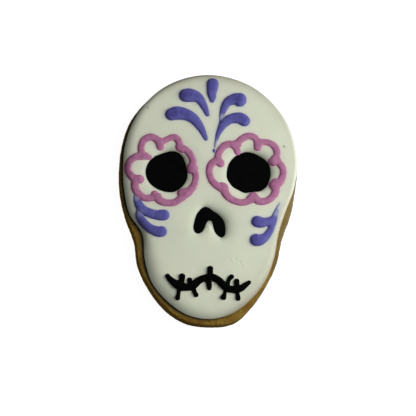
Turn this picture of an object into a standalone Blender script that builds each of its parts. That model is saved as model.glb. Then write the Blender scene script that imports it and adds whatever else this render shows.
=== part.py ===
"""An iced sugar-skull biscuit, lying flat with its face up and its crown towards +Y.

The origin is on the table under the middle of the biscuit. Places in the plan
are in millimetres, and MM turns them into metres.
"""

import math

import bmesh
import bpy
from mathutils import Vector

MM = 0.001

# Heights in millimetres, from the table up. Pieces that touch keep GAP between them.
GAP = 0.3
BISCUIT_TOP = 6.5
WHITE_BASE = BISCUIT_TOP + GAP
WHITE_TOP = WHITE_BASE + 2.1
SOCKET_FLOOR = WHITE_BASE + 0.8
INLAY_BASE = SOCKET_FLOOR + GAP
INLAY_TOP = WHITE_TOP - 0.3
PIPING_BASE = WHITE_TOP + GAP

# How far a piped line's middle lies under the surface, and its height against its width.
PIPING_SINK = 0.15
PETAL_HEIGHT_RATIO = 0.9
PURPLE_HEIGHT_RATIO = 0.65
STITCH_HEIGHT_RATIO = 0.9

BISCUIT_ROUNDING = 1.4
WHITE_ROUNDING = 0.9
INLAY_ROUNDING = 0.2

BISCUIT_OUTLINE = [
    (0.0, 50.8), (-16.9, 45.6), (-29.3, 33.4), (-34.8, 17.5), (-34.3, 0.5), (-31.0, -11.5),
    (-28.2, -21.0), (-26.0, -31.0), (-18.8, -42.0), (-8.4, -49.7), (1.0, -50.8), (10.0, -49.5),
    (18.9, -40.7), (26.0, -28.7), (28.8, -18.5), (32.3, -8.0), (34.9, 6.0), (34.9, 20.4),
    (28.9, 35.5), (16.5, 46.8),
]
WHITE_OUTLINE = [
    (0.0, 50.6), (-16.9, 45.3), (-28.8, 32.8), (-33.7, 17.5), (-33.0, 1.2), (-30.3, -9.0),
    (-25.7, -16.3), (-24.9, -25.0), (-21.0, -36.6), (-12.3, -46.0), (0.0, -48.7), (11.5, -46.0),
    (20.4, -37.4), (26.1, -23.5), (28.4, -12.2), (32.7, -0.5), (34.6, 11.0), (34.0, 22.6),
    (28.7, 35.3), (16.4, 46.6),
]
LEFT_EYE_OUTLINE = [
    (-24.7, 8.8), (-23.0, 14.0), (-18.1, 17.1), (-13.3, 17.8), (-10.2, 14.6), (-8.7, 9.0),
    (-10.7, 3.4), (-15.6, 1.5), (-21.4, 3.8),
]
RIGHT_EYE_OUTLINE = [
    (7.4, 9.6), (9.2, 15.0), (14.2, 18.3), (20.4, 16.8), (24.0, 12.2), (23.5, 6.0),
    (17.8, 2.2), (12.0, 2.6), (8.2, 6.2),
]
NOSE_OUTLINE = [
    (-0.7, -4.4), (3.0, -6.8), (5.9, -9.7), (6.3, -14.6), (4.3, -16.2), (2.2, -13.2),
    (0.9, -9.7), (-0.7, -9.9), (-2.3, -13.7), (-4.5, -14.9), (-5.8, -12.4), (-4.0, -7.2),
]

# Each petal is a round line through its root, its crown and its tip, which ends in a drop.
PETAL_LINE_WIDTH = 2.4
PETAL_TIP_WIDTH = 3.1
LEFT_PETALS = [
    ((-27.0, 17.6), (-24.7, 23.4), (-19.2, 19.7)),
    ((-18.5, 21.7), (-12.2, 22.4), (-11.4, 18.4)),
    ((-9.9, 19.5), (-5.8, 15.0), (-7.6, 10.9)),
    ((-6.3, 10.8), (-5.5, 4.4), (-9.7, 1.2)),
    ((-10.0, 0.5), (-16.1, -3.3), (-20.3, 0.6)),
    ((-21.9, -0.7), (-27.8, 0.0), (-27.1, 6.6)),
    ((-29.7, 6.4), (-28.2, 15.9), (-22.6, 14.9)),
]
RIGHT_PETALS = [
    ((3.7, 15.6), (6.0, 21.3), (12.0, 17.8)),
    ((11.4, 20.8), (16.6, 24.9), (19.4, 20.8)),
    ((20.5, 22.3), (26.3, 21.3), (24.1, 14.6)),
    ((27.1, 15.5), (29.2, 8.7), (25.3, 5.5)),
    ((26.5, 4.6), (22.2, -1.7), (17.4, 2.0)),
    ((16.7, -0.9), (9.8, -1.4), (6.4, 4.2)),
    ((5.3, 3.4), (0.0, 11.0), (4.6, 14.2)),
]

# Each purple stroke bends from a round head to a thin tail: its guide points, head and tail widths.
CROWN_DROP = [((1.6, 46.7), (1.1, 43.2), (1.2, 39.5)), 4.2, 1.8]
CROWN_UPPER_LEFT = [((-9.3, 41.3), (-2.6, 42.2), (-0.8, 34.0)), 4.9, 1.6]
CROWN_LOWER_LEFT = [((-15.1, 33.2), (-6.1, 36.3), (-1.3, 23.7)), 4.7, 1.4]
CROWN_UPPER_RIGHT = [((12.5, 40.1), (5.6, 42.1), (4.5, 30.8)), 4.7, 1.2]
CROWN_LOWER_RIGHT = [((14.4, 31.4), (5.7, 36.2), (2.6, 21.5)), 4.0, 0.9]
LEFT_CHEEK_UPPER = [((-17.7, -8.2), (-26.3, -9.8), (-28.7, -3.4)), 3.7, 1.6]
LEFT_CHEEK_LOWER = [((-18.9, -14.8), (-26.0, -13.6), (-27.6, -7.2)), 3.7, 1.4]
RIGHT_CHEEK_UPPER = [((19.1, -9.8), (21.8, -10.2), (24.8, -9.2)), 4.1, 2.6]
RIGHT_CHEEK_LOWER = [((18.9, -17.3), (25.2, -17.4), (24.8, -9.4), (27.3, -3.8)), 4.4, 1.0]

MOUTH_LINE = [
    (-16.2, -32.5), (-13.7, -35.2), (-9.5, -36.7), (-4.6, -34.8), (0.4, -32.8), (4.6, -35.0),
    (8.4, -37.2), (12.1, -36.4), (15.7, -33.8),
]
MOUTH_WIDTH = 2.4
MOUTH_END_WIDTH = 1.4
STITCH_WIDTH = 1.6
STITCHES = [
    ((-10.4, -32.2), (-10.9, -36.5), (-12.0, -40.7)),
    ((-7.4, -33.7), (-6.8, -36.6), (-5.1, -39.6)),
    ((0.4, -28.9), (0.3, -33.0), (0.1, -37.0)),
    ((9.0, -32.2), (6.9, -36.5), (5.8, -40.2)),
    ((10.8, -34.0), (11.0, -37.0), (11.4, -40.6)),
]

# How finely the curved shapes are divided.
LARGE_OUTLINE_SIDES = 96
SMALL_OUTLINE_SIDES = 40
PETAL_STEPS = 9
STROKE_STEPS = 9
MOUTH_STEPS = 24
CAP_ANGLES = (35, 65, 85)


def to_linear(channel):
    """One sRGB channel from 0 to 255 as the linear value that a shader takes."""
    value = channel / 255
    return value / 12.92 if value <= 0.04045 else ((value + 0.055) / 1.055) ** 2.4


def make_material(name, hex_colour, roughness):
    """A Principled BSDF material of one plain colour."""
    material = bpy.data.materials.new(name)
    material.use_nodes = True
    shader = material.node_tree.nodes["Principled BSDF"]
    channels = [to_linear(int(hex_colour[i:i + 2], 16)) for i in (1, 3, 5)]
    shader.inputs["Base Color"].default_value = (*channels, 1.0)
    shader.inputs["Roughness"].default_value = roughness
    shader.inputs["Metallic"].default_value = 0.0
    material.diffuse_color = (*channels, 1.0)
    return material


def smooth_line(points, steps, closed=False):
    """Evenly spaced places on a smooth curve that runs through every point."""
    count = len(points)
    spans = count if closed else count - 1
    places = []
    for step in range(steps if closed else steps + 1):
        whole, part = divmod(step * spans / steps, 1)
        index = int(whole)
        if closed:
            a, b, c, d = (Vector(points[(index + k) % count]) for k in (-1, 0, 1, 2))
        else:
            a, b, c, d = (Vector(points[min(max(index + k, 0), count - 1)]) for k in (-1, 0, 1, 2))
        places.append(0.5 * (2 * b + (c - a) * part + (2 * a - 5 * b + 4 * c - d) * part ** 2
                             + (3 * b - a - 3 * c + d) * part ** 3))
    return places


def bend(guides, steps):
    """Places along the Bezier curve that the guide points pull into shape."""
    places = []
    for step in range(steps + 1):
        part = step / steps
        row = [Vector(guide) for guide in guides]
        while len(row) > 1:
            row = [first.lerp(second, part) for first, second in zip(row, row[1:])]
        places.append(row[0])
    return places


def arc_through(root, crown, tip, steps):
    """Places along the circular arc from root over crown to tip."""
    a, b, c = Vector(root), Vector(crown), Vector(tip)
    turn = 2 * (a.x * (b.y - c.y) + b.x * (c.y - a.y) + c.x * (a.y - b.y))
    centre = Vector((
        (a.length_squared * (b.y - c.y) + b.length_squared * (c.y - a.y)
         + c.length_squared * (a.y - b.y)) / turn,
        (a.length_squared * (c.x - b.x) + b.length_squared * (a.x - c.x)
         + c.length_squared * (b.x - a.x)) / turn,
    ))
    start, middle, end = (math.atan2((p - centre).y, (p - centre).x) for p in (a, b, c))
    full = 2 * math.pi
    sweep = (end - start) % full
    if (middle - start) % full > sweep:
        sweep -= full
    radius = (a - centre).length
    angles = [start + sweep * step / steps for step in range(steps + 1)]
    return [centre + radius * Vector((math.cos(t), math.sin(t))) for t in angles]


def add_curve(name, dimensions):
    """An empty curve object in the model's collection."""
    curve = bpy.data.curves.new(name, "CURVE")
    curve.dimensions = dimensions
    piece = bpy.data.objects.new(name, curve)
    model.objects.link(piece)
    return piece


def closed_mesh(piece):
    """The piece's evaluated mesh with its caps welded on."""
    graph = bpy.context.evaluated_depsgraph_get()
    mesh = bpy.data.meshes.new_from_object(piece.evaluated_get(graph))
    shape = bmesh.new()
    shape.from_mesh(mesh)
    bmesh.ops.remove_doubles(shape, verts=shape.verts, dist=0.00001)
    bmesh.ops.recalc_face_normals(shape, faces=shape.faces)
    shape.to_mesh(mesh)
    shape.free()
    return mesh


def made_mesh(piece):
    """Replaces a curve, or an object with modifiers, by a plain mesh object of its shape."""
    name, place = piece.name, piece.matrix_world.copy()
    mesh = closed_mesh(piece)
    bpy.data.objects.remove(piece)
    made = bpy.data.objects.new(name, mesh)
    made.matrix_world = place
    model.objects.link(made)
    return made


def flat_piece(name, outline, sides, low, high, rounding):
    """A slab of one outline between two heights, with both its edges rounded."""
    piece = add_curve(name, "2D")
    curve = piece.data
    spline = curve.splines.new("POLY")
    places = smooth_line(outline, sides, closed=True)
    spline.points.add(len(places) - 1)
    for point, place in zip(spline.points, places):
        point.co = (place.x * MM, place.y * MM, 0.0, 1.0)
    spline.use_cyclic_u = True
    curve.fill_mode = "BOTH"
    curve.bevel_depth = rounding * MM
    curve.bevel_resolution = 1
    curve.offset = -rounding * MM
    curve.extrude = ((high - low) / 2 - rounding) * MM
    piece.location.z = (low + high) / 2 * MM
    bpy.context.view_layer.update()
    return made_mesh(piece)


def piped_line(name, places, widths, height_ratio):
    """A line of icing of changing width, with round ends, standing on the white icing."""
    first, last = places[0] - places[1], places[-1] - places[-2]
    stations = []
    for angle in reversed(CAP_ANGLES):
        turn = math.radians(angle)
        reach = widths[0] / 2 * math.sin(turn)
        stations.append((places[0] + first.normalized() * reach, widths[0] / 2 * math.cos(turn)))
    stations += [(place, width / 2) for place, width in zip(places, widths)]
    for angle in CAP_ANGLES:
        turn = math.radians(angle)
        reach = widths[-1] / 2 * math.sin(turn)
        stations.append((places[-1] + last.normalized() * reach, widths[-1] / 2 * math.cos(turn)))
    piece = add_curve(name, "3D")
    curve = piece.data
    curve.twist_mode = "Z_UP"
    curve.bevel_depth = MM
    curve.bevel_resolution = 2
    curve.use_fill_caps = True
    spline = curve.splines.new("POLY")
    spline.points.add(len(stations) - 1)
    for point, (place, radius) in zip(spline.points, stations):
        point.co = (place.x * MM, place.y * MM, 0.0, 1.0)
        point.radius = radius
    bpy.context.view_layer.update()
    made = made_mesh(piece)
    for vertex in made.data.vertices:
        vertex.co.z = vertex.co.z * height_ratio + (PIPING_BASE - PIPING_SINK) * MM
    return made


def joined(name, pieces):
    """One solid made of several that overlap."""
    others = bpy.data.collections.new(name + "_others")
    bpy.context.scene.collection.children.link(others)
    for piece in pieces[1:]:
        model.objects.unlink(piece)
        others.objects.link(piece)
    union = pieces[0].modifiers.new("union", "BOOLEAN")
    union.operation = "UNION"
    union.operand_type = "COLLECTION"
    union.collection = others
    union.solver = "EXACT"
    bpy.context.view_layer.update()
    made = made_mesh(pieces[0])
    for piece in list(others.objects):
        bpy.data.objects.remove(piece)
    bpy.data.collections.remove(others)
    made.name = name
    return made


def cut_by(piece, cutter):
    """Takes the cutter's shape out of the piece."""
    cut = piece.modifiers.new("cut", "BOOLEAN")
    cut.operation = "DIFFERENCE"
    cut.object = cutter
    cut.solver = "EXACT"
    bpy.context.view_layer.update()
    made = made_mesh(piece)
    bpy.data.objects.remove(cutter)
    return made


def flat_based(piece):
    """Cuts off what lies under the height at which piping stands."""
    bpy.ops.mesh.primitive_cube_add(size=1)
    cutter = bpy.context.object
    cutter.scale = (120 * MM, 120 * MM, 10 * MM)
    cutter.location.z = (PIPING_BASE - 5) * MM
    bpy.context.view_layer.update()
    return cut_by(piece, cutter)


def finished(piece, material):
    """Gives a piece its material and smooth shading."""
    piece.data.materials.clear()
    piece.data.materials.append(material)
    piece.data.shade_smooth()
    piece.data.set_sharp_from_angle(angle=math.radians(40))
    return piece


def petal(name, root, crown, tip):
    """One looped petal, whose line swells to a drop at its tip."""
    places = arc_through(root, crown, tip, PETAL_STEPS)
    swell = PETAL_TIP_WIDTH - PETAL_LINE_WIDTH
    widths = [PETAL_LINE_WIDTH + swell * (k / PETAL_STEPS) ** 3 for k in range(PETAL_STEPS + 1)]
    return piped_line(name, places, widths, PETAL_HEIGHT_RATIO)


def purple_stroke(name, stroke):
    """One comma-shaped stroke from its round head to its thin tail."""
    guides, head, tail = stroke
    places = bend(guides, STROKE_STEPS)
    widths = [tail + (head - tail) * (1 - (k / STROKE_STEPS) ** 1.5) for k in range(STROKE_STEPS + 1)]
    return piped_line(name, places, widths, PURPLE_HEIGHT_RATIO)


def make_biscuit():
    """The baked base, whose rim shows all round the lower half of the icing."""
    piece = flat_piece("biscuit", BISCUIT_OUTLINE, LARGE_OUTLINE_SIDES, 0.0, BISCUIT_TOP,
                       BISCUIT_ROUNDING)
    finished(piece, make_material("baked_dough", "#a08550", 0.85))


def make_inlay(name, outline, material):
    """A black pool of icing, level in its socket in the white."""
    piece = flat_piece(name, outline, SMALL_OUTLINE_SIDES, INLAY_BASE, INLAY_TOP, INLAY_ROUNDING)
    finished(piece, material)


def widened(outline, extra):
    """An outline that runs clockwise, moved outwards by a little all round."""
    count = len(outline)
    moved = []
    for index, point in enumerate(outline):
        along = Vector(outline[(index + 1) % count]) - Vector(outline[index - 1])
        moved.append(Vector(point) + Vector((-along.y, along.x)).normalized() * extra)
    return moved


def make_white_icing():
    """The white icing, with a shallow socket under each black inlay."""
    piece = flat_piece("white_icing", WHITE_OUTLINE, LARGE_OUTLINE_SIDES, WHITE_BASE, WHITE_TOP,
                       WHITE_ROUNDING)
    for outline in (LEFT_EYE_OUTLINE, RIGHT_EYE_OUTLINE, NOSE_OUTLINE):
        socket = flat_piece("socket", widened(outline, GAP), SMALL_OUTLINE_SIDES, SOCKET_FLOOR,
                            WHITE_TOP + 1.0, INLAY_ROUNDING)
        piece = cut_by(piece, socket)
    finished(piece, make_material("white_icing", "#dcded0", 0.5))


def make_petal_ring(name, petals, material):
    """Seven looped petals piped one after the other round an eye."""
    pieces = [petal(name + str(index), *points) for index, points in enumerate(petals)]
    finished(flat_based(joined(name, pieces)), material)


def make_purple(name, strokes, material):
    """A purple figure of one stroke, or of two that meet."""
    pieces = [purple_stroke(name + str(index), stroke) for index, stroke in enumerate(strokes)]
    if len(pieces) > 1:
        pieces = [joined(name, pieces)]
    piece = flat_based(pieces[0])
    piece.name = name
    finished(piece, material)


def make_mouth(material):
    """The wavy line of the mouth with the stitches that cross it."""
    places = smooth_line(MOUTH_LINE, MOUTH_STEPS)
    widths = []
    for step in range(MOUTH_STEPS + 1):
        inward = min(step, MOUTH_STEPS - step) / (MOUTH_STEPS / 4)
        widths.append(MOUTH_END_WIDTH + (MOUTH_WIDTH - MOUTH_END_WIDTH) * min(inward, 1))
    pieces = [piped_line("mouth", places, widths, STITCH_HEIGHT_RATIO)]
    for index, stitch in enumerate(STITCHES):
        places = bend(stitch, 5)
        pieces.append(piped_line("stitch" + str(index), places, [STITCH_WIDTH] * len(places),
                                 STITCH_HEIGHT_RATIO))
    finished(flat_based(joined("mouth", pieces)), material)


for leftover in list(bpy.data.objects):
    bpy.data.objects.remove(leftover)
model = bpy.data.collections.new("cookie")
bpy.context.scene.collection.children.link(model)

black_icing = make_material("black_icing", "#101112", 0.6)
pink_icing = make_material("pink_icing", "#b87fa4", 0.5)
purple_icing = make_material("purple_icing", "#6a67ab", 0.5)

make_biscuit()
make_white_icing()
make_inlay("eye_left", LEFT_EYE_OUTLINE, black_icing)
make_inlay("eye_right", RIGHT_EYE_OUTLINE, black_icing)
make_inlay("nose", NOSE_OUTLINE, black_icing)
make_petal_ring("petals_left", LEFT_PETALS, pink_icing)
make_petal_ring("petals_right", RIGHT_PETALS, pink_icing)
make_purple("crown_drop", [CROWN_DROP], purple_icing)
make_purple("crown_upper_left", [CROWN_UPPER_LEFT], purple_icing)
make_purple("crown_lower_left", [CROWN_LOWER_LEFT], purple_icing)
make_purple("crown_right", [CROWN_UPPER_RIGHT, CROWN_LOWER_RIGHT], purple_icing)
make_purple("cheek_left", [LEFT_CHEEK_UPPER, LEFT_CHEEK_LOWER], purple_icing)
make_purple("cheek_right", [RIGHT_CHEEK_UPPER, RIGHT_CHEEK_LOWER], purple_icing)
make_mouth(black_icing)
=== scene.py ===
"""An iced sugar-skull biscuit as it is seen from nearly straight above.

Places in the plan and heights are in millimetres, and MM turns them into metres. Heights
count from the table up.
"""

import math

import bpy
import numpy as np
from mathutils import Matrix, Vector, noise


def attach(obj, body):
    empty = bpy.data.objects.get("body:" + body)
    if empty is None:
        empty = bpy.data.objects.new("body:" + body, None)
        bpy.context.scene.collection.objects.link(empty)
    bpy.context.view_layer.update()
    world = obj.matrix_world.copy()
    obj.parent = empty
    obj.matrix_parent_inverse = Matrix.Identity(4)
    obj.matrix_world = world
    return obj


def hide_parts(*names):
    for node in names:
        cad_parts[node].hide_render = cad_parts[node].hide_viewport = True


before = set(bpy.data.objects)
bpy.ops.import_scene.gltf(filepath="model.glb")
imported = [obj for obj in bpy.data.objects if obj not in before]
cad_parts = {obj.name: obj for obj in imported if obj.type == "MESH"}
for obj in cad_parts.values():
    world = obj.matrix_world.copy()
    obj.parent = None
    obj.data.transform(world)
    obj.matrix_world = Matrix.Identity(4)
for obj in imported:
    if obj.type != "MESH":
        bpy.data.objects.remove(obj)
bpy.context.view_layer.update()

MM = 0.001

# Heights. The real icing sticks to what it lies on, so the layers touch here.
BISCUIT_TOP = 6.5
WHITE_FOOT = BISCUIT_TOP - 0.05
WHITE_BULGE = 7.15
WHITE_TOP = 9.0
POOL_DROP = 0.45
POOL_DEPTH = 0.5
PIPING_SINK = 0.02

# The white icing rolls off towards its edge. It set on a tilt, so the roll is wide and low on
# the left and lower left, and tight and TIGHT_BULGE higher on the right. A higher ROLL_SHAPE
# makes it rounder. Towards each black pool the white dips over DIP_REACH.
TIGHT_ROLL = 1.6
WIDE_ROLL = 9.6
TIGHT_BULGE = 1.1
ROLL_SHAPE = 4.0
DIP_REACH = 1.5

# Sides are headings in degrees round the biscuit, from its right towards its crown. The roll
# is tightest at one, and the window lights the other.
TIGHT_SIDE = 38.0
LIT_SIDE = 25.0

# Edges from below upwards, each as steps of how far in from the outline and how high. The
# roll has no heights here, because they come from icing_height.
BISCUIT_RIM = 3.0
SOLE_CORNER = [(BISCUIT_RIM, 0.0), (1.8, 0.0), (1.1, 0.02), (0.7, 0.1), (0.42, 0.25), (0.22, 0.5),
               (0.1, 0.85)]
TOP_CORNER = [(0.07, 5.6), (0.12, 5.88), (0.21, 6.12), (0.34, 6.3), (0.52, 6.42), (0.78, 6.48),
              (1.1, BISCUIT_TOP), (2.2, BISCUIT_TOP), (BISCUIT_RIM, BISCUIT_TOP)]
ICING_FOOT = [(1.0, WHITE_FOOT), (0.95, 6.52), (0.4, 6.55), (0.12, 6.62), (0.03, 6.75), (0.0, 6.95)]
ICING_ROLL_STEPS = [0.0, 0.02, 0.07, 0.15, 0.27, 0.42, 0.6, 0.85, 1.15, 1.5, 1.9, 2.35, 2.8, 3.25,
                    3.7, 4.1, 4.5]

# A piped line's height against its width.
PETAL_HEIGHT_RATIO = 0.42
PURPLE_HEIGHT_RATIO = 0.48
MOUTH_HEIGHT_RATIO = 0.98

BISCUIT_OUTLINE = [
    (0.0, 50.6), (-9.5, 49.0), (-18.3, 44.7), (-25.6, 38.4), (-31.2, 30.4), (-34.2, 21.0),
    (-35.1, 11.1), (-34.6, 1.3), (-32.3, -8.3), (-28.9, -17.6), (-27.3, -27.4), (-23.1, -36.2),
    (-17.0, -44.1), (-8.9, -49.5), (0.9, -50.9), (10.5, -49.3), (17.6, -42.8), (23.1, -34.6),
    (27.2, -25.6), (29.4, -16.0), (32.7, -6.8), (34.7, 2.8), (35.8, 12.8), (34.8, 22.4),
    (31.6, 31.7), (26.0, 39.7), (18.6, 45.9), (9.6, 49.5),
]
WHITE_OUTLINE = [
    (0.0, 50.7), (-9.3, 49.0), (-17.9, 44.8), (-24.9, 38.3), (-30.0, 30.1), (-32.9, 20.9),
    (-33.7, 11.5), (-33.1, 2.0), (-30.9, -7.4), (-25.8, -15.4), (-24.8, -25.1), (-22.1, -34.2),
    (-16.4, -41.4), (-8.6, -46.8), (0.7, -48.5), (9.9, -45.9), (17.2, -40.0), (22.6, -32.5),
    (25.9, -23.7), (27.6, -14.3), (30.5, -5.2), (33.8, 3.8), (35.4, 13.6), (34.4, 23.0),
    (31.2, 32.0), (25.6, 39.7), (18.3, 45.8), (9.4, 49.5),
]
LEFT_EYE_OUTLINE = [
    (-24.6, 11.5), (-23.4, 13.8), (-21.5, 15.7), (-19.7, 16.6), (-17.6, 17.4), (-15.8, 18.0),
    (-14.2, 18.2), (-12.3, 17.8), (-10.4, 16.2), (-9.5, 14.3), (-8.9, 12.3), (-8.4, 9.6),
    (-8.5, 7.4), (-9.2, 5.5), (-10.9, 3.2), (-13.4, 1.6), (-15.6, 1.3), (-17.9, 1.6),
    (-20.7, 2.7), (-22.7, 4.2), (-24.1, 6.0), (-24.8, 8.0), (-24.9, 9.4),
]
RIGHT_EYE_OUTLINE = [
    (7.1, 8.9), (7.5, 12.2), (8.5, 14.5), (10.5, 16.7), (13.2, 18.2), (15.2, 18.7),
    (18.0, 18.2), (20.7, 16.9), (22.5, 15.6), (24.1, 13.6), (24.6, 11.0), (24.5, 8.5),
    (23.4, 5.3), (21.8, 3.5), (20.2, 2.6), (17.0, 2.2), (14.3, 1.8), (11.9, 2.8),
    (9.6, 4.1), (8.4, 5.5), (7.5, 7.0),
]
NOSE_OUTLINE = [
    (-1.5, -4.2), (0.2, -4.7), (1.9, -5.9), (3.7, -7.1), (5.2, -8.6), (6.2, -10.3),
    (6.6, -12.3), (6.6, -14.3), (6.2, -15.7), (5.1, -16.5), (4.3, -16.2), (3.2, -15.4),
    (2.4, -14.3), (1.8, -12.5), (1.5, -10.9), (1.0, -10.0), (0.2, -9.8), (-0.5, -10.3),
    (-1.1, -11.3), (-1.5, -12.7), (-2.3, -14.1), (-3.3, -14.9), (-4.3, -15.1), (-5.4, -14.6),
    (-6.0, -13.4), (-6.0, -11.9), (-5.5, -9.5), (-4.8, -7.5), (-3.9, -6.1), (-2.9, -5.0),
]

# Piped lines are rows of (x, y, width) along the middle of the line.
# Each petal starts on its neighbour and ends in the blob where the nozzle was lifted.
LEFT_PETALS = [
    [(-26.5, 16.7, 2.4), (-26.7, 19.5, 2.3), (-25.9, 21.8, 2.4), (-24.4, 23.1, 2.5),
     (-22.8, 23.6, 2.5), (-21.1, 23.0, 2.6), (-19.6, 21.6, 2.7), (-19.1, 19.7, 2.7)],
    [(-17.9, 22.1, 2.2), (-16.2, 23.0, 2.0), (-14.6, 23.7, 2.2), (-13.3, 23.7, 2.4),
     (-12.1, 22.6, 2.4), (-11.5, 21.0, 2.5), (-11.4, 19.4, 2.6)],
    [(-11.0, 19.7, 2.4), (-9.3, 18.9, 2.4), (-7.8, 17.6, 2.4), (-6.7, 15.8, 2.4),
     (-6.1, 13.9, 2.4), (-6.4, 12.4, 3.1), (-6.7, 10.9, 3.7)],
    [(-5.7, 10.3, 2.4), (-5.1, 8.4, 2.3), (-5.2, 6.3, 2.2), (-6.1, 3.8, 2.5), (-7.5, 2.0, 2.9),
     (-9.3, 0.8, 3.5)],
    [(-9.9, -0.3, 2.7), (-11.7, -1.8, 2.5), (-13.5, -2.9, 2.4), (-15.9, -3.2, 2.4),
     (-18.1, -2.7, 2.7), (-19.5, -1.8, 2.9), (-20.2, -0.7, 3.2)],
    [(-21.6, -1.0, 2.5), (-24.0, -1.5, 2.4), (-26.1, -0.9, 2.5), (-27.8, 0.6, 2.7),
     (-28.8, 2.6, 2.7), (-28.9, 4.6, 2.7), (-28.2, 5.8, 3.0), (-27.1, 6.2, 3.2)],
    [(-29.4, 6.3, 2.5), (-30.7, 7.8, 2.5), (-31.8, 9.8, 2.2), (-31.7, 12.0, 2.4),
     (-30.5, 14.1, 2.4), (-28.7, 15.3, 2.5), (-26.8, 15.6, 2.6), (-24.9, 15.8, 2.5),
     (-23.9, 15.5, 1.9)],
]
RIGHT_PETALS = [
    [(3.6, 15.4, 2.6), (4.0, 17.5, 2.4), (4.9, 19.4, 2.4), (6.5, 21.0, 2.5), (8.5, 21.7, 2.5),
     (10.2, 21.0, 2.5), (11.1, 20.0, 2.4), (11.6, 18.5, 2.2)],
    [(11.7, 21.6, 2.5), (12.3, 23.0, 2.4), (14.1, 24.5, 2.4), (16.2, 25.3, 2.4),
     (18.2, 24.7, 2.4), (19.3, 23.2, 2.4), (19.6, 20.6, 2.6)],
    [(20.4, 22.8, 2.4), (22.3, 22.9, 2.2), (24.3, 22.6, 2.2), (26.1, 21.4, 2.4),
     (27.2, 19.5, 2.4), (27.1, 17.4, 2.4), (26.4, 16.1, 2.8), (25.8, 14.7, 3.0)],
    [(27.4, 15.0, 2.4), (28.9, 13.4, 2.4), (29.7, 11.4, 2.3), (29.4, 8.8, 2.4), (28.1, 6.6, 3.0),
     (26.1, 5.0, 3.8)],
    [(26.7, 3.8, 2.9), (26.3, 2.0, 2.7), (25.2, 0.3, 2.5), (23.2, -1.1, 2.4), (21.0, -1.6, 2.5),
     (19.1, -1.1, 2.8), (18.3, -0.1, 3.2), (17.9, 0.7, 2.7)],
    [(16.7, -0.9, 2.6), (14.8, -1.9, 2.4), (12.5, -2.2, 2.3), (10.2, -1.6, 2.4), (7.9, -0.2, 2.6),
     (6.6, 1.6, 2.9), (6.1, 3.5, 3.0)],
    [(5.0, 3.3, 2.6), (3.0, 4.6, 2.5), (1.4, 6.3, 2.4), (0.5, 8.5, 2.3), (0.3, 10.8, 2.3),
     (0.9, 12.7, 2.5), (2.3, 14.2, 2.6), (3.7, 14.2, 2.7), (4.8, 13.5, 2.7)],
]

# Where a petal's end runs into its neighbours it fills the corner between them.
LEFT_WEBS = [
    [(-20.6, 22.8, 2.3), (-19.0, 21.9, 2.9), (-17.7, 22.3, 2.0)],
    [(-11.8, 20.0, 2.4), (-10.3, 18.9, 2.6)],
    [(-7.3, 11.0, 2.2), (-5.8, 11.1, 3.0)],
    [(-10.7, 1.0, 3.1), (-8.1, 1.5, 3.1), (-10.0, -0.5, 2.3)],
    [(-21.2, 0.4, 2.4), (-20.6, -1.1, 2.6)],
    [(-29.1, 6.6, 2.7), (-26.9, 6.1, 2.7)],
    [(-26.6, 16.4, 2.7), (-25.1, 15.8, 2.6), (-23.4, 15.3, 1.8)],
]
RIGHT_WEBS = [
    [(10.6, 22.0, 2.4), (11.7, 21.4, 2.3)],
    [(19.3, 23.0, 2.4), (19.9, 21.7, 2.4), (20.9, 22.5, 2.3)],
    [(25.0, 15.0, 2.3), (27.3, 15.8, 2.8)],
    [(25.2, 5.3, 2.5), (26.9, 6.5, 2.9), (26.2, 4.1, 2.8)],
    [(17.4, 0.8, 2.5), (16.7, -0.6, 3.2)],
    [(5.2, 4.6, 2.3), (6.3, 3.9, 2.7), (6.5, 2.1, 2.6)],
    [(3.4, 14.9, 2.7), (4.9, 13.9, 2.5)],
]

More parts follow.
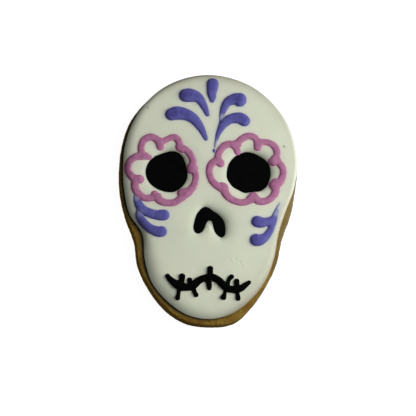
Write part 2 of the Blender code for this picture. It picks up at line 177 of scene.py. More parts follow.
# Each purple stroke starts at its round head and thins to a tail.
PURPLE_STROKES = {
    "crown_drop": [
        [(1.7, 46.7, 4.3), (1.5, 44.9, 4.0), (1.3, 42.7, 3.3), (1.5, 40.8, 2.5), (1.4, 39.7, 1.6)],
    ],
    "crown_upper_left": [
        [(-9.0, 41.4, 5.2), (-7.3, 41.5, 5.2), (-5.1, 41.0, 4.4), (-3.5, 39.9, 3.4),
         (-2.3, 38.0, 2.7), (-1.2, 35.7, 2.0), (-0.5, 33.7, 1.4)],
    ],
    "crown_lower_left": [
        [(-14.8, 33.2, 4.6), (-13.1, 33.8, 5.2), (-11.0, 33.8, 4.9), (-8.6, 33.2, 4.4),
         (-6.0, 31.7, 3.8), (-4.1, 29.5, 3.1), (-2.7, 27.2, 2.4), (-1.6, 24.8, 1.7),
         (-1.1, 23.5, 1.2)],
    ],
    "crown_right": [
        [(12.3, 40.3, 5.5), (10.8, 40.5, 4.6), (8.8, 39.9, 3.7), (7.3, 38.7, 3.0),
         (6.3, 36.8, 2.5), (5.6, 34.9, 1.9), (5.1, 32.9, 1.3), (4.8, 31.2, 0.8), (4.3, 28.9, 0.7)],
        [(14.3, 31.5, 4.2), (12.8, 32.5, 4.4), (10.8, 32.6, 4.0), (8.5, 32.0, 3.5),
         (6.8, 30.7, 3.2), (5.5, 29.1, 2.6), (4.5, 27.2, 2.0), (3.7, 25.4, 1.4),
         (3.0, 22.7, 0.8), (2.5, 20.4, 0.5)],
        [(2.2, 19.3, 0.5), (2.1, 18.4, 0.7)],
    ],
    "cheek_left": [
        [(-17.5, -8.1, 4.0), (-19.2, -8.2, 3.8), (-21.0, -8.0, 3.3), (-22.8, -7.5, 3.3),
         (-24.8, -6.7, 3.2), (-26.4, -5.5, 3.2), (-27.4, -3.8, 2.9), (-28.3, -2.2, 2.0),
         (-28.9, -0.7, 0.8)],
        [(-18.4, -14.7, 3.9), (-19.4, -14.8, 3.9), (-21.1, -14.4, 3.5), (-22.9, -13.5, 3.1),
         (-24.7, -12.0, 2.9), (-26.3, -10.1, 2.8), (-27.2, -8.3, 2.5), (-27.4, -6.7, 1.6)],
    ],
    "cheek_right": [
        [(19.1, -9.8, 4.2), (20.6, -10.1, 4.0), (22.6, -9.9, 3.1), (24.2, -9.5, 3.0),
         (25.1, -8.9, 2.7)],
        [(18.6, -17.2, 4.5), (20.0, -17.2, 4.2), (21.4, -16.5, 3.4), (22.9, -15.3, 2.6),
         (24.3, -13.1, 2.2), (25.0, -10.9, 2.3), (25.5, -9.4, 2.4), (26.0, -7.8, 2.1),
         (26.6, -6.1, 1.6), (27.2, -4.4, 1.2), (28.1, -2.5, 0.6)],
    ],
}

# The mouth's line, and the arms of its stitches above and below it.
MOUTH_LINE = [
    (-16.0, -32.3, 1.4), (-15.0, -33.6, 1.8), (-13.6, -34.8, 2.4), (-12.0, -35.9, 2.9),
    (-10.2, -36.6, 2.7), (-8.0, -36.6, 2.5), (-6.3, -36.1, 2.7), (-5.0, -35.0, 2.6),
    (-3.3, -33.5, 2.4), (-1.4, -33.0, 2.5), (0.5, -32.6, 2.7), (2.3, -32.8, 2.5), (4.2, -34.0, 2.5),
    (5.7, -35.6, 2.6), (7.2, -36.8, 2.5), (9.0, -37.1, 2.4), (10.8, -37.2, 2.6), (12.5, -36.6, 2.3),
    (14.1, -35.5, 1.8), (15.7, -34.2, 1.2)]
STITCHES = [
    [(-10.3, -32.4, 2.0), (-10.4, -33.8, 1.8), (-10.4, -35.8, 1.8)],
    [(-12.7, -34.9, 1.4), (-10.9, -34.7, 1.4)],
    [(-11.5, -37.9, 1.3), (-11.7, -39.3, 1.1), (-12.0, -40.8, 1.6)],
    [(-7.4, -33.7, 1.5), (-7.2, -35.4, 1.6)],
    [(-5.8, -37.5, 1.3), (-5.4, -38.6, 1.3), (-4.9, -39.6, 1.5)],
    [(0.6, -29.1, 1.9), (0.5, -31.0, 1.8)],
    [(0.0, -34.5, 1.7), (0.2, -35.9, 1.7), (0.2, -36.9, 1.3)],
    [(8.9, -32.1, 1.5), (8.2, -32.8, 1.4), (7.6, -34.0, 1.2), (7.3, -35.7, 1.3)],
    [(6.4, -38.1, 1.0), (6.2, -38.9, 1.1), (5.7, -40.3, 1.9)],
    [(10.9, -33.9, 1.8), (10.9, -35.7, 1.6)],
    [(11.1, -38.3, 1.1), (11.3, -39.7, 1.3), (11.4, -40.7, 1.5)],
]

# The forked nose has no middle of its own, so its rings close on a place in its bridge.
NOSE_MIDDLE = (0.15, -6.4)

# Where a purple tail was drawn out so thin that the white shows through: place, reach, share.
THIN_TAILS = [
    ((28.0, -2.9), 3.6, 0.95), ((26.4, -6.1), 2.0, 0.6), ((2.8, 21.5), 2.5, 0.6), ((5.0, 32.7), 1.8, 0.6),
    ((-28.8, -1.6), 2.0, 0.45), ((-27.5, -7.7), 2.4, 0.3),
]

# Specks of crumb and pin-prick pits on the white: place and radius.
CRUMBS = [((-24.3, 35.8), 0.35), ((30.1, 21.3), 0.38), ((15.2, 3.2), 0.14)]
PITS = [((8.3, -25.5), 0.34), ((10.6, -24.9), 0.38), ((12.2, -26.2), 0.34), ((13.0, -27.8), 0.3)]
PIT_DEPTH = 0.12
# How much painted shade darkens each pit.
PIT_SHADE = 0.28

# How finely the shapes are divided.
LARGE_SIDES = 600
EDGE_SIDES = 240
POOL_SIDES = 220
UNDERSIDE_RINGS = 70
FACE_RINGS = 125
POOL_RINGS = 40
LINE_STEPS = 32
STAIN_STEPS = 16
TUBE_SIDES = 22
BLEND_VOXEL = 0.14

# Smoothing takes this much off a line's width, so the tubes start wider.
SMOOTHED_OFF = 0.42

# The camera stands 16 degrees off the vertical, towards the chin and a little to the left.
CAMERA_TILT = 16.0
CAMERA_HEADING = 250.0
CAMERA_DISTANCE = 600.0
CAMERA_TARGET = (0.0, -4.0, 6.0)
CAMERA_LENS = 132.0

# The table top, in metres: so wide that it fills the picture in a low view too.
FLOOR_SIZE = 90.0


# Outlines and paths

def smooth_line(points, steps, closed=False):
    """Evenly spaced places on a smooth curve that runs through every point."""
    points = np.array(points, float)
    count = len(points)
    place = np.arange(steps if closed else steps + 1) * (count if closed else count - 1) / steps
    index = np.floor(place).astype(int)
    part = (place - index)[:, None]
    if closed:
        a, b, c, d = (points[(index + k) % count] for k in (-1, 0, 1, 2))
    else:
        a, b, c, d = (points[np.clip(index + k, 0, count - 1)] for k in (-1, 0, 1, 2))
    return 0.5 * (2 * b + (c - a) * part + (2 * a - 5 * b + 4 * c - d) * part ** 2
                  + (3 * b - a - 3 * c + d) * part ** 3)


def nearest_on(start, end, x, y):
    """How far along a segment the nearest place lies, and how far off each place is."""
    dx, dy = end[0] - start[0], end[1] - start[1]
    along = np.clip(((x - start[0]) * dx + (y - start[1]) * dy) / (dx * dx + dy * dy + 1e-12), 0, 1)
    return along, np.hypot(x - start[0] - along * dx, y - start[1] - along * dy)


def depth_in(outline, x, y):
    """How deep inside a closed outline each place lies, below zero outside it."""
    nearest = np.full(x.shape, 1e9)
    inside = np.zeros(x.shape, bool)
    for start, end in zip(outline, np.roll(outline, -1, axis=0)):
        nearest = np.minimum(nearest, nearest_on(start, end, x, y)[1])
        crosses = (start[1] > y) != (end[1] > y)
        rise = end[1] - start[1]
        inside ^= crosses & (x < start[0] + (y - start[1]) * (end[0] - start[0]) / (rise or 1e-12))
    return np.where(inside, nearest, -nearest)


def gap_to(strokes, x, y):
    """How far each place lies from the edge of the nearest piped line."""
    gap = np.full(x.shape, 1e9)
    for stroke in strokes:
        path = smooth_line(stroke, STAIN_STEPS)
        for start, end in zip(path, path[1:]):
            along, away = nearest_on(start, end, x, y)
            gap = np.minimum(gap, away - (start[2] + (end[2] - start[2]) * along) / 2)
    return gap


def outward(outline):
    """The direction straight out of a closed outline at each of its places."""
    x, y = outline.T
    turns_left = np.sum(x * np.roll(y, -1) - y * np.roll(x, -1)) > 0
    along = np.roll(outline, -1, axis=0) - np.roll(outline, 1, axis=0)
    normal = np.stack([along[:, 1], -along[:, 0]], axis=1) * (1 if turns_left else -1)
    return normal / np.linalg.norm(normal, axis=1)[:, None]


def ripple(places, size, seed):
    """Smooth unevenness from -1 to 1 whose humps are about that many millimetres wide."""
    shift = Vector((seed, 2.3 * seed, 3.1 * seed))
    return np.array([noise.noise(Vector(place) / size + shift) for place in places])


white_edge = smooth_line(WHITE_OUTLINE, EDGE_SIDES, closed=True)
pool_edges = {
    "eye_left": smooth_line(LEFT_EYE_OUTLINE, POOL_SIDES, closed=True),
    "eye_right": smooth_line(RIGHT_EYE_OUTLINE, POOL_SIDES, closed=True),
    "nose": smooth_line(NOSE_OUTLINE, POOL_SIDES, closed=True),
}


def far_round(x, y, side):
    """How far round from one side of the biscuit each place lies, from 0 to 1."""
    return 0.5 - 0.5 * np.cos(np.arctan2(y, x) - math.radians(side))


def in_shade(x, y):
    """How far each place lies in the shade of the icing's edge, from 0 to 1."""
    return np.clip(2.6 * far_round(x, y, LIT_SIDE) - 1.35, 0, 1)


def near_heading(heading, middle, spread):
    """1 at one heading, falling away to nothing on both sides of it."""
    return np.exp(-((heading - middle) / spread) ** 2)


def spot(x, y, place, radius):
    """1 at one place, falling away to nothing round it."""
    return np.exp(-((x - place[0]) ** 2 + (y - place[1]) ** 2) / radius ** 2)


def rim_dough_and_shade_amount(x, y):
    """How far the rim of the icing is greyed: partly dough showing through the thin icing, partly
    painted shade that dims the rim on the side the window lights.

    It shows round the right half from chin to crown, least beside the eye, and reaches
    furthest in at the crown and at the right of the chin.
    """
    heading = np.degrees(np.arctan2(y, x))
    amount = 0.15 + 0.85 * (1 - near_heading(heading, 22, 32))
    amount *= 1 - np.clip(5 * far_round(x, y, LIT_SIDE - 10) - 2.5, 0, 1)
    reach = 1.1 + 0.9 * near_heading(heading, 95, 35) + 1.5 * near_heading(heading, -73, 20)
    return amount * np.exp(-np.maximum(depth_in(white_edge, x, y), 0) / reach)


def icing_height(x, y, pit=0.0):
    """The height of the white icing's face, or of the black where a pool lies in it.

    The roll is narrower at the left cheek and at the jaw under it, and lower at the chin. pit
    is how deep the white's face goes down under a pool.
    """
    wide = far_round(x, y, TIGHT_SIDE) ** 1.5
    heading = np.degrees(np.arctan2(y, x)) % 360
    width = TIGHT_ROLL + (WIDE_ROLL - TIGHT_ROLL) * wide
    width *= 1 - 0.28 * near_heading(heading, 190, 28) - 0.26 * near_heading(heading, 213, 9)
    inward = np.clip(depth_in(white_edge, x, y) / width, 0, 1)
    bulge = WHITE_BULGE + TIGHT_BULGE * (1 - wide) - 0.28 * near_heading(heading, 258, 24)
    height = bulge + (WHITE_TOP - bulge) * (1 - (1 - inward) ** ROLL_SHAPE)
    for edge in pool_edges.values():
        depth = depth_in(edge, x, y)
        height -= POOL_DROP * np.exp(np.minimum(depth, 0) / DIP_REACH)
        height -= pit * np.clip(depth / 0.5, 0, 1)
    return height


# Meshes

def piece_from(name, places, faces, replaces):
    """A mesh piece in the object's one body that stands for CAD nodes."""
    mesh = bpy.data.meshes.new(name)
    mesh.from_pydata(np.asarray(places) * MM, [], faces)
    mesh.validate()
    mesh.shade_smooth()
    piece = bpy.data.objects.new(name, mesh)
    bpy.context.scene.collection.objects.link(piece)
    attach(piece, "root")
    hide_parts(*replaces)
    return piece


def ringed_faces(rings, sides):
    """Faces between rings of places, closed by a first and a last place on the axis."""
    faces = []
    for ring in range(rings - 1):
        low, high = 1 + ring * sides, 1 + (ring + 1) * sides
        faces += [(low + k, low + (k + 1) % sides, high + (k + 1) % sides, high + k)
                  for k in range(sides)]
    last = 1 + rings * sides
    top = last - sides
    faces += [(0, 1 + (k + 1) % sides, 1 + k) for k in range(sides)]
    faces += [(top + k, top + (k + 1) % sides, last) for k in range(sides)]
    return faces


def ringed_places(rings, first, last):
    """All the places of a ringed solid in the order that its faces name them."""
    return np.vstack([[first], *rings, [last]])


def level(plan, height):
    """A ring in the plan lifted to a height, which may differ from place to place."""
    return np.column_stack([plan, np.broadcast_to(height, len(plan))])


def note(mesh, name, values):
    """Keeps a value from 0 to 1 at each vertex for the mesh's material to read."""
    mesh.attributes.new(name, "FLOAT", "POINT").data.foreach_set("value", np.clip(values, 0, 1))


def make_biscuit(material):
    """The baked base: a slab with a soft rim, a crumbly side and a flat underside."""
    outline = smooth_line(BISCUIT_OUTLINE, LARGE_SIDES, closed=True)
    out = outward(outline)
    inner = outline - out * BISCUIT_RIM
    rings = [level(inner * part, 0.0) for part in np.linspace(0.02, 0.98, UNDERSIDE_RINGS)]
    wall = [(0.05, height) for height in np.linspace(1.2, 5.3, 17)]
    rings += [level(outline - out * inset, height) for inset, height in SOLE_CORNER + wall + TOP_CORNER]
    places = ringed_places(rings, (0, 0, 0), (0, 0, BISCUIT_TOP))
    # Crumbs push the side in and out by up to about 0.2 mm, and roughen the top and sole less.
    crumb = 0.5 * ripple(places, 3.0, 1) + 0.35 * ripple(places, 1.2, 2) + 0.25 * ripple(places, 0.6, 3)
    rim = np.clip(1 - depth_in(outline[::3], places[:, 0], places[:, 1]) / BISCUIT_RIM, 0, 1)
    away = places * (1, 1, 0)
    away /= np.linalg.norm(away, axis=1)[:, None] + 1e-9
    places += away * (0.2 * crumb * rim)[:, None]
    upper = places[:, 2] > 3
    places[upper, 2] += 0.12 * crumb[upper] * rim[upper]
    places[~upper, 2] += 0.14 * np.maximum(crumb[~upper], 0)
    piece = piece_from("biscuit_baked", places, ringed_faces(len(rings), LARGE_SIDES),
                       ["biscuit"])
    x, y, height = places.T
    from_icing = np.maximum(-depth_in(white_edge, x, y), 0)
    shade = in_shade(x, y)
    # Painted shadow of the icing on the dough beside it, on the side away from the window.
    note(piece.data, "painted_contact_shadow", 2.1 * np.exp(-from_icing / 0.55) * (height > BISCUIT_TOP - 0.5) * shade)
    # Painted fill light: the side and underside are paler on the side away from the window.
    note(piece.data, "painted_fill_light", np.clip((BISCUIT_TOP - 0.15 - height) / 0.5, 0, 1) * shade)
    # Painted shade: the dough is greyer on the side that faces the window.
    note(piece.data, "painted_lit_side_shade", 1.1 - 2.6 * far_round(x, y, LIT_SIDE))
    piece.data.materials.append(material)


def make_white_icing(material):
    """The flooded icing: an undercut base, a round edge, and a face that dips to the pools.

    It also marks painted shade at its base, beside the pools, in the pits and on its rim, besides
    the real colour stains.
    """
    outline = smooth_line(WHITE_OUTLINE, LARGE_SIDES, closed=True)
    out = outward(outline)
    rings = [level(outline - out * inset, height) for inset, height in ICING_FOOT]
    plans = [outline - out * inset for inset in ICING_ROLL_STEPS]
    plans += [plans[-1] * part for part in np.linspace(1, 0, FACE_RINGS)[1:-1]]
    rings += [level(plan, icing_height(plan[:, 0], plan[:, 1], pit=0.4)) for plan in plans]
    middle = icing_height(np.zeros(1), np.zeros(1))[0]
    places = ringed_places(rings, (0, 0, WHITE_FOOT), (0, 0, middle))
    face = places[:, 2] > WHITE_BULGE - 0.1
    places[face, 2] += 0.05 * ripple(places[face], 13.0, 1) + 0.012 * ripple(places[face], 3.0, 2)
    x, y = places[:, 0], places[:, 1]
    for place, radius in PITS:
        places[face, 2] -= (PIT_DEPTH * spot(x, y, place, radius))[face]
    piece = piece_from("icing_white", places, ringed_faces(len(rings), LARGE_SIDES),
                       ["white_icing"])
    note(piece.data, "pink_stain", np.exp(-np.maximum(gap_to(LEFT_PETALS + RIGHT_PETALS, x, y), 0) / 0.5))
    purple = [stroke for strokes in PURPLE_STROKES.values() for stroke in strokes]
    note(piece.data, "purple_stain", np.exp(-np.maximum(gap_to(purple, x, y), 0) / 0.5))
    # Painted shade at the icing's base on the side away from the window.
    note(piece.data, "painted_base_shade", np.clip((WHITE_BULGE - places[:, 2]) / 0.4, 0, 1) * in_shade(x, y))
    # The rim is greyed partly by dough showing through and partly by painted shade.
    note(piece.data, "rim_dough_and_shade", rim_dough_and_shade_amount(x, y))
    crumb_specks_and_pit_shade = np.zeros(len(x))
    for place, radius in CRUMBS:
        crumb_specks_and_pit_shade = np.maximum(crumb_specks_and_pit_shade, spot(x, y, place, radius))
    # Besides being dented, the pits get painted shade, laid over the real crumb specks.
    for place, radius in PITS:
        crumb_specks_and_pit_shade = np.maximum(crumb_specks_and_pit_shade, PIT_SHADE * spot(x, y, place, 0.8 * radius))
    note(piece.data, "crumb_specks_and_pit_shade", crumb_specks_and_pit_shade)
    # Painted shade on the white, mostly to the right of each pool and a little towards the crown, where the
    # white slopes away from the window, over a thin rim where the black ran into the white all round.
    bleed_and_shade = np.zeros(len(x))
    for edge in pool_edges.values():
        middle = edge.mean(axis=0)
        side = np.clip(np.cos(np.arctan2(y - middle[1], x - middle[0]) - math.radians(30)), 0, 1)
        reach = 0.35 + 1.9 * side
        bleed_and_shade = np.maximum(bleed_and_shade, np.exp(np.minimum(depth_in(edge, x, y), 0) / reach) * (0.55 + 0.45 * side))
    note(piece.data, "pool_bleed_and_shade", bleed_and_shade)
    piece.data.materials.append(material)


def make_pool(name, material):
    """A flat pool of black icing that lies in the dip of the white."""
    outline = pool_edges[name]
    out = outward(outline)
    middle = np.array(NOSE_MIDDLE) if name == "nose" else outline.mean(axis=0)
    base = WHITE_TOP - POOL_DROP
    rings = [level(outline - out * 0.5, base - POOL_DEPTH), level(outline + out * 0.03, base - 0.12)]
    # The pool rounds over at its edge to stand a little proud of the white there.
    for inset, lift in ((0.0, -0.03), (0.1, 0.02), (0.3, 0.05), (0.6, 0.07)):
        rings.append(level(outline - out * inset, base + lift))
    inner = outline - out * 0.6
    for part in np.linspace(1, 0, POOL_RINGS)[1:-1]:
        rings.append(level(middle + (inner - middle) * part, base + 0.07))
    places = ringed_places(rings, (*middle, base - POOL_DEPTH), (*middle, base + 0.07))
    places[:, 2] += 0.03 * ripple(places, 4.0, 7)
    piece = piece_from(name + "_black", places, ringed_faces(len(rings), POOL_SIDES), [name])
    piece.data.materials.append(material)


def squared(turned):
    """A round cross-section pressed a little towards a square, as icing settles."""
    return np.sign(turned) * np.abs(turned) ** 0.75


def tube(stroke, ratio):
    """A closed tube along a stroke, flattened by ratio, with round ends."""
    row = smooth_line(stroke, LINE_STEPS)
    path, radii = row[:, :2], (row[:, 2] + SMOOTHED_OFF) / 2
    cap = np.radians([88, 70, 52, 35, 18])
    first = (path[0] - path[1]) / np.linalg.norm(path[0] - path[1])
    last = (path[-1] - path[-2]) / np.linalg.norm(path[-1] - path[-2])
    path = np.vstack([path[0] + first * radii[0] * np.sin(cap)[:, None], path,
                      path[-1] + last * radii[-1] * np.sin(cap[::-1])[:, None]])
    radii = np.concatenate([radii[0] * np.cos(cap), radii, radii[-1] * np.cos(cap[::-1])])
    along = np.gradient(path, axis=0)
    across = np.stack([-along[:, 1], along[:, 0]], axis=1)
    across /= np.linalg.norm(across, axis=1)[:, None]
    turn = np.arange(TUBE_SIDES) * 2 * math.pi / TUBE_SIDES
    rings = []
    for place, side, radius in zip(path, across, radii):
        plan = place + side * (radius * squared(np.cos(turn)))[:, None]
        rings.append(level(plan, radius * ratio * squared(np.sin(turn))))
    places = ringed_places(rings, (*path[0], 0), (*path[-1], 0))
    return places, ringed_faces(len(rings), TUBE_SIDES)


def piped(name, strokes, ratio, material):
    """Piped lines that run together, laid over the face of the icing under them."""
    places, faces = [], []
    for stroke in strokes:
        tube_places, tube_faces = tube(stroke, ratio)
        start = sum(len(part) for part in places)
        faces += [tuple(start + index for index in face) for face in tube_faces]
        places.append(tube_places)
    piece = piece_from(name + "_piped", np.vstack(places), faces, [name])
    run = piece.modifiers.new("run_together", "REMESH")
    run.mode = "VOXEL"
    run.voxel_size = BLEND_VOXEL * MM
    relax = piece.modifiers.new("relax", "SMOOTH")
    relax.factor = 0.5
    relax.iterations = 8
    graph = bpy.context.evaluated_depsgraph_get()
    mesh = bpy.data.meshes.new_from_object(piece.evaluated_get(graph))
    piece.modifiers.clear()
    piece.data = mesh
    flat = np.empty(len(mesh.vertices) * 3)
    mesh.vertices.foreach_get("co", flat)
    places = flat.reshape(-1, 3) / MM
    # The crest rises and falls a little along the line, as the hand slows and hurries.
    above = places[:, 2] > 0
    places[above, 2] *= 1 + 0.10 * ripple(places[above] * (1, 1, 0), 2.2, 5)
    places[:, 2] += icing_height(places[:, 0], places[:, 1]) - PIPING_SINK
    mesh.vertices.foreach_set("co", (places * MM).ravel())
    mesh.shade_smooth()
    thin = np.zeros(len(places))
    for (x, y), reach, share in THIN_TAILS:
        away = np.hypot(places[:, 0] - x, places[:, 1] - y)
        thin = np.maximum(thin, share * np.clip(1.5 - 1.5 * away / reach, 0, 1))
    note(mesh, "thin", thin)
    # Colour gathers where a line is more than 3.2 mm wide, as in the heads of the strokes.
    thick = np.zeros(len(places))
    for stroke in strokes:
        for x, y, width in stroke:
            away = np.hypot(places[:, 0] - x, places[:, 1] - y)
            thick = np.maximum(thick, np.clip((width - 3.2) / 1.4, 0, 1) * np.exp(-(away / 1.6) ** 2))
    note(mesh, "thick", thick)
    mesh.materials.clear()
    mesh.materials.append(material)


# Materials

def linear(hex_colour):
    """An sRGB hex colour as the linear colour that a shader takes."""
    channels = [int(hex_colour[i:i + 2], 16) / 255 for i in (1, 3, 5)]
    return (*(c / 12.92 if c <= 0.04045 else ((c + 0.055) / 1.055) ** 2.4 for c in channels), 1.0)


def add(tree, kind, settings=(), links=()):
    """Adds a node, with its settings by name and its inputs linked from other outputs."""
    node = tree.nodes.new("ShaderNode" + kind)
    for key, value in dict(settings).items():
        if isinstance(key, str) and hasattr(node, key):
            setattr(node, key, value)
        else:
            node.inputs[key].default_value = value
    for key, source in dict(links).items():
        tree.links.new(source, node.inputs[key])
    return node


def new_material(name, roughness, specular):
    """A material with its node tree, its shader and the place on the object in metres."""
    material = bpy.data.materials.new(name)
    material.use_nodes = True
    tree = material.node_tree
    shader = tree.nodes["Principled BSDF"]
    shader.inputs["Roughness"].default_value = roughness
    shader.inputs["Specular IOR Level"].default_value = specular
    place = add(tree, "TexCoord").outputs["Object"]
    return material, tree, shader, place


def stained(tree, colour, marks):
    """Lays stains over a colour, each as strongly as the mesh notes it, times its own most."""
    for mark, tint, most in marks:
        share = add(tree, "Attribute", {"attribute_name": mark})
        share = add(tree, "Math", {"operation": "MULTIPLY", 1: most}, {0: share.outputs["Fac"]})
        colour = add(tree, "Mix", {"data_type": "RGBA", 7: linear(tint)}, {0: share.outputs[0], 6: colour})
        colour = colour.outputs[2]
    return colour


def coat(tree, shader, colour, relief, strength, depth):
    """Gives a shader its colour and its fine relief, whose depth is in millimetres."""
    bump = add(tree, "Bump", {"Strength": strength, "Distance": depth * MM}, {"Height": relief})
    tree.links.new(colour, shader.inputs["Base Color"])
    tree.links.new(bump.outputs["Normal"], shader.inputs["Normal"])


def baked_dough():
    """Shortcrust, rolled, cut and baked golden: dry and matt, browner in patches, with pores.

    The oven browned it in patches about 6 mm wide and toasted spots of about 2 mm. The cutter
    dragged streaks up and down the side. Real pores are 0.2 to 0.5 mm wide, so these are drawn
    at 0.6 mm, as coarse as they need to be to show. On the side away from the window, painted
    shadow darkens the dough beside the icing and painted fill light makes the lower side paler.
    Painted shade greys the side that faces the window.
    """
    material, tree, shader, place = new_material("baked_shortcrust", 0.9, 0.2)
    patches = add(tree, "TexNoise", {"Scale": 1 / (6.0 * MM), "Detail": 4.0}, {"Vector": place})
    spots = add(tree, "TexNoise", {"Scale": 1 / (2.2 * MM), "Detail": 3.0}, {"Vector": place})
    grain = add(tree, "TexNoise", {"Scale": 1 / (0.6 * MM), "Detail": 4.0}, {"Vector": place})
    flat = add(tree, "VectorMath", {"operation": "MULTIPLY", 1: (1.0, 1.0, 0.25)}, {0: place})
    streaks = add(tree, "TexNoise", {"Scale": 1 / (0.5 * MM), "Detail": 3.0}, {"Vector": flat.outputs[0]})
    browned = add(tree, "MapRange", {"From Min": 0.38, "From Max": 0.66}, {"Value": patches.outputs["Fac"]})
    toasted = add(tree, "MapRange", {"From Min": 0.56, "From Max": 0.7}, {"Value": spots.outputs["Fac"]})
    open_pores = add(tree, "MapRange", {"From Min": 0.5, "From Max": 0.36}, {"Value": grain.outputs["Fac"]})
    lines = add(tree, "MapRange", {"From Min": 0.52, "From Max": 0.36}, {"Value": streaks.outputs["Fac"]})
    colour = add(tree, "Mix", {"data_type": "RGBA", 6: linear("#967b2f"), 7: linear("#7a5e1e")},
                 {0: browned.outputs[0]})
    colour = add(tree, "Mix", {"data_type": "RGBA", 7: linear("#80541c")},
                 {0: toasted.outputs[0], 6: colour.outputs[2]})
    lines = add(tree, "Math", {"operation": "MULTIPLY", 1: 0.3}, {0: lines.outputs[0]})
    dark = add(tree, "Math", {"operation": "MULTIPLY_ADD", 1: 0.35},
               {0: open_pores.outputs[0], 2: lines.outputs[0]})
    colour = add(tree, "Mix", {"data_type": "RGBA", 7: linear("#453412")},
                 {0: dark.outputs[0], 6: colour.outputs[2]})
    # Painted shadow beside the icing, painted fill light on the lower side and painted shade on the lit
    # side.
    colour = stained(tree, colour.outputs[2], [("painted_lit_side_shade", "#7b7259", 0.5), ("painted_fill_light", "#d0a040", 0.65),
                                               ("painted_contact_shadow", "#120c05", 0.97)])
    height = add(tree, "SeparateXYZ", {}, {0: place}).outputs["Z"]
    sole = add(tree, "MapRange", {"From Min": 0.5 * MM, "From Max": 0.0, "To Max": 0.6}, {"Value": height})
    colour = add(tree, "Mix", {"data_type": "RGBA", 7: linear("#6d4919")}, {0: sole.outputs[0], 6: colour})
    relief = add(tree, "Math", {"operation": "ADD"}, {0: grain.outputs["Fac"], 1: streaks.outputs["Fac"]})
    coat(tree, shader, colour.outputs[2], relief.outputs[0], 0.7, 0.12)
    return material


def white_icing():
    """Royal icing, flooded and dried: off-white sugar, satin, a little light goes into it.

    It clouds over about 9 mm where the flood set unevenly. Icing sugar's grain is far finer
    than a pixel, so it is drawn at 0.7 mm. The food colours ran into the white beside them.
    Painted shade greys the white beside the black pools, at its base, in the pits and on its rim.
    """
    material, tree, shader, place = new_material("white_royal_icing", 0.55, 0.3)
    shader.inputs["Subsurface Weight"].default_value = 0.15
    shader.inputs["Subsurface Radius"].default_value = (1.0, 0.9, 0.7)
    shader.inputs["Subsurface Scale"].default_value = 0.8 * MM
    cloud = add(tree, "TexNoise", {"Scale": 1 / (9.0 * MM), "Detail": 3.0}, {"Vector": place})
    grain = add(tree, "TexNoise", {"Scale": 1 / (0.7 * MM), "Detail": 3.0}, {"Vector": place})
    shade = add(tree, "MapRange", {"From Min": 0.3, "From Max": 0.7}, {"Value": cloud.outputs["Fac"]})
    colour = add(tree, "Mix", {"data_type": "RGBA", 6: linear("#e4e9d1"), 7: linear("#dee3cd")},
                 {0: shade.outputs[0]})
    # Painted shade beside the black pools, at the icing's base, in the pits and on its rim, among the real
    # colour stains.
    colour = stained(tree, colour.outputs[2], [
        ("pool_bleed_and_shade", "#565c51", 0.85), ("pink_stain", "#dcb9c2", 0.7), ("purple_stain", "#b9b9d2", 0.7),
        ("crumb_specks_and_pit_shade", "#5b6240", 0.9), ("painted_base_shade", "#3a3828", 0.85), ("rim_dough_and_shade", "#8f8874", 0.95)])
    coat(tree, shader, colour, grain.outputs["Fac"], 0.12, 0.05)
    return material


def coloured_icing(name, deep, light, faded, thickest, roughness, specular):
    """Royal icing in food colour, piped and dried: deepest where thick, faded where thin.

    The colour wasn't stirred in evenly, so it clouds over about 1.6 mm. The sugar's grain is
    drawn at 0.35 mm, which is coarser than the real one, so that it shows in a close view.
    """
    material, tree, shader, place = new_material(name, roughness, specular)
    cloud = add(tree, "TexNoise", {"Scale": 1 / (1.6 * MM), "Detail": 4.0}, {"Vector": place})
    grain = add(tree, "TexNoise", {"Scale": 1 / (0.35 * MM), "Detail": 3.0}, {"Vector": place})
    share = add(tree, "MapRange", {"From Min": 0.35, "From Max": 0.65}, {"Value": cloud.outputs["Fac"]})
    colour = add(tree, "Mix", {"data_type": "RGBA", 6: linear(deep), 7: linear(light)},
                 {0: share.outputs[0]})
    colour = stained(tree, colour.outputs[2], [("thick", thickest, 1.0), ("thin", faded, 1.0)])
    coat(tree, shader, colour, grain.outputs["Fac"], 0.2, 0.04)
    return material


# Studio

def make_floor():
    """A plain white table top, bright enough to show no more than a trace of the shadow."""
    bpy.ops.mesh.primitive_plane_add(size=FLOOR_SIZE, location=(0, 0, 0))
    floor = bpy.context.object
    floor.name = "floor"
    material, _, shader, _ = new_material("white_table", 0.9, 0.1)
    shader.inputs["Base Color"].default_value = (0.3, 0.3, 0.3, 1)
    shader.inputs["Emission Color"].default_value = (1, 1, 1, 1)
    shader.inputs["Emission Strength"].default_value = 0.95
    floor.data.materials.append(material)
    floor.visible_diffuse = False
    floor.visible_glossy = False


def add_light(name, heading, height, distance, size, power):
    """A square soft light that faces the biscuit: angles in degrees, metres and watts."""
    light = bpy.data.lights.new(name, "AREA")
    light.size = size
    light.energy = power
    lamp = bpy.data.objects.new(name, light)
    turn, rise = math.radians(heading), math.radians(height)
    place = Vector((math.cos(turn) * math.cos(rise), math.sin(turn) * math.cos(rise), math.sin(rise)))
    lamp.location = place * distance
    lamp.rotation_euler = place.to_track_quat("Z", "Y").to_euler()
    bpy.context.scene.collection.objects.link(lamp)


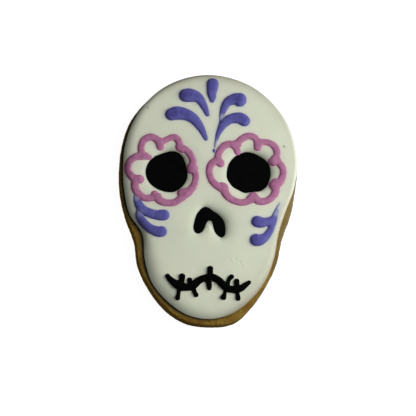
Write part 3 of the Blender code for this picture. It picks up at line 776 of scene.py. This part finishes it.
def make_camera():
    """The camera, set to see what the photograph's saw."""
    camera = bpy.data.objects.new("camera", bpy.data.cameras.new("camera"))
    camera.data.lens = CAMERA_LENS
    camera.data.sensor_width = 36.0
    camera.data.clip_start = 0.01
    tilt, heading = math.radians(CAMERA_TILT), math.radians(CAMERA_HEADING)
    back = Vector((math.sin(tilt) * math.cos(heading), math.sin(tilt) * math.sin(heading), math.cos(tilt)))
    right = Vector((0, 1, 0)).cross(back).normalized()
    up = back.cross(right)
    place = (Vector(CAMERA_TARGET) + back * CAMERA_DISTANCE) * MM
    camera.matrix_world = Matrix.Translation(place) @ Matrix((right, up, back)).transposed().to_4x4()
    bpy.context.scene.collection.objects.link(camera)
    bpy.context.scene.camera = camera


make_camera()
make_floor()
add_light("window", heading=5, height=34, distance=0.4, size=0.33, power=2.06)
add_light("ceiling", heading=330, height=75, distance=0.55, size=0.4, power=0.33)
world = bpy.data.worlds.new("room")
world.use_nodes = True
world.node_tree.nodes["Background"].inputs["Color"].default_value = (1, 1, 1, 1)
world.node_tree.nodes["Background"].inputs["Strength"].default_value = 0.07
bpy.context.scene.world = world
bpy.context.scene.view_settings.view_transform = "Standard"

black_icing = coloured_icing("black_royal_icing", deep="#020303", light="#060607", faded="#060607",
                             thickest="#030304", roughness=0.9, specular=0.04)
pink_icing = coloured_icing("pink_royal_icing", deep="#a86b8d", light="#bc7aa0", faded="#c9a0b6",
                            thickest="#b26893", roughness=0.6, specular=0.2)
purple_icing = coloured_icing("purple_royal_icing", deep="#5a58a0", light="#6463aa", faded="#b4bac8",
                              thickest="#4e4a94", roughness=0.6, specular=0.2)
make_biscuit(baked_dough())
make_white_icing(white_icing())
for pool in pool_edges:
    make_pool(pool, black_icing)
piped("petals_left", LEFT_PETALS + LEFT_WEBS, PETAL_HEIGHT_RATIO, pink_icing)
piped("petals_right", RIGHT_PETALS + RIGHT_WEBS, PETAL_HEIGHT_RATIO, pink_icing)
for node, strokes in PURPLE_STROKES.items():
    piped(node, strokes, PURPLE_HEIGHT_RATIO, purple_icing)
piped("mouth", [MOUTH_LINE] + STITCHES, MOUTH_HEIGHT_RATIO, black_icing)
